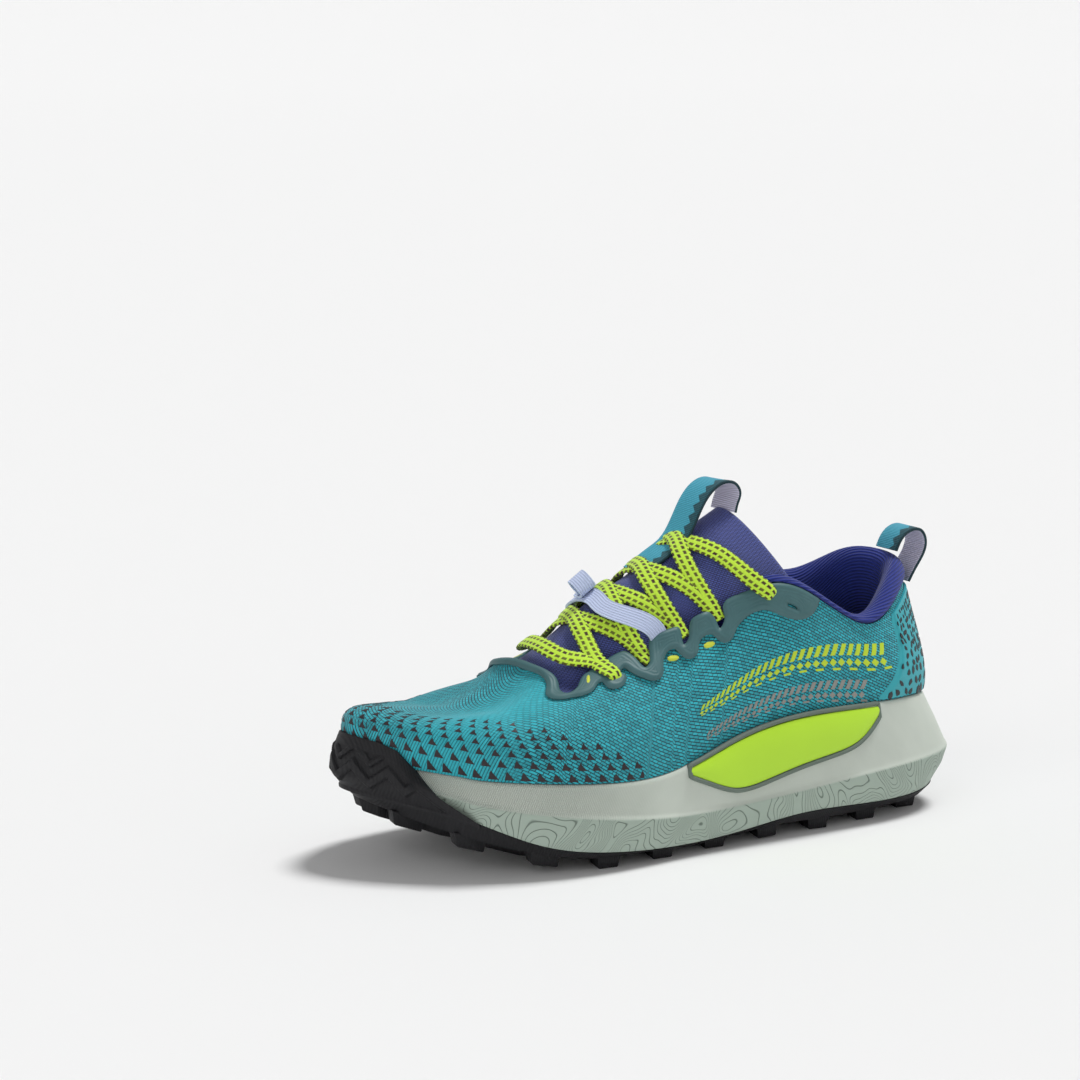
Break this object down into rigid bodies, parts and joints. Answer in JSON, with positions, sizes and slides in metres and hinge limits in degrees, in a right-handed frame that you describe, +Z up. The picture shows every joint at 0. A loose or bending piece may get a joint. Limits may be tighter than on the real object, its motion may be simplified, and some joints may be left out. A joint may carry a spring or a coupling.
{
  "type": "trail running shoe",
  "caption": "Low trail running shoe for the left foot with lugged outsole, flared foam midsole, knit upper, pull loops, flat lace and elastic lace keeper.",
  "frame": {"origin": "on the floor, under the middle of the shoe's bounding box", "axes": "+X from heel to toe, +Y to the lateral (left) side, +Z up"},
  "size_m": [0.301, 0.1156, 0.1586],
  "materials": {
    "rubber_outsole": "matte black rubber",
    "sage_foam": "matte moulded foam",
    "lime_foam": "soft satin foam",
    "insole_cloth": "brushed cloth on foam",
    "turquoise_knit": "matte engineered knit",
    "royal_blue_knit": "padded ribbed knit",
    "slate_film": "matte welded film",
    "heel_print": "printed overlay",
    "navy_knit": "two-tone knit",
    "turquoise_webbing": "woven webbing",
    "lavender_elastic": "ribbed elastic",
    "neon_lace": "braided lace with dark flecks"
  },
  "bodies": {
    "root": {"outsole": "rubber_outsole", "midsole": "sage_foam", "side_pad": "lime_foam", "insole": "insole_cloth", "upper": "turquoise_knit", "collar_lining": "royal_blue_knit", "eyestay": "slate_film", "heel_counter": "heel_print", "tongue": "navy_knit", "tongue_loop": "turquoise_webbing", "heel_loop": "turquoise_webbing", "lace_keeper": "lavender_elastic", "laces": "neon_lace"}
  },
  "joints": []
}
